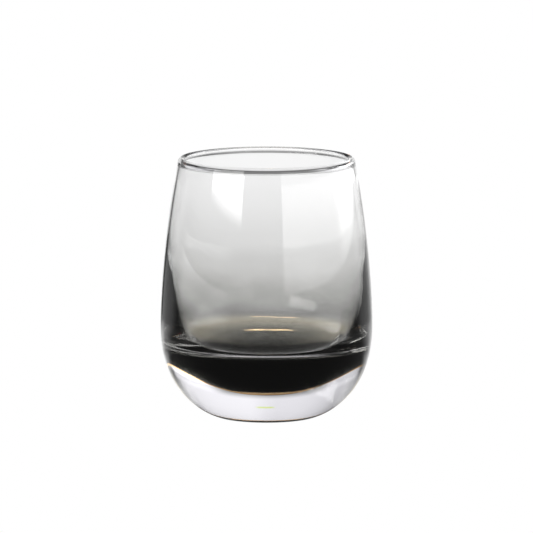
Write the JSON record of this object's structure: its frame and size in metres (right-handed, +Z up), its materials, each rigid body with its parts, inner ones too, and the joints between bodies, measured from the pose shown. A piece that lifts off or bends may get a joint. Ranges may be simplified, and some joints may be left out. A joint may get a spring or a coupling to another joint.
{
  "type": "whiskey tumbler",
  "caption": "Rounded whiskey tumbler of cased glass: a smoke-grey inner cup that fades to clear at a beaded lip, over a heavy clear base.",
  "frame": {"origin": "centre of the flat foot, on the surface the tumbler stands on", "axes": "+Z up, along the axis the tumbler is round about, from the foot to the lip"},
  "size_m": [0.0844, 0.0844, 0.1042],
  "materials": {
    "clear_glass": "fire-polished clear glass, smooth and bright",
    "smoke_glass": "smooth smoke-grey glass, near black where thick and fading to clear where thin"
  },
  "bodies": {
    "root": {"clear_outer_casing": "clear_glass", "smoke_inner_lining": "smoke_glass"}
  },
  "joints": []
}
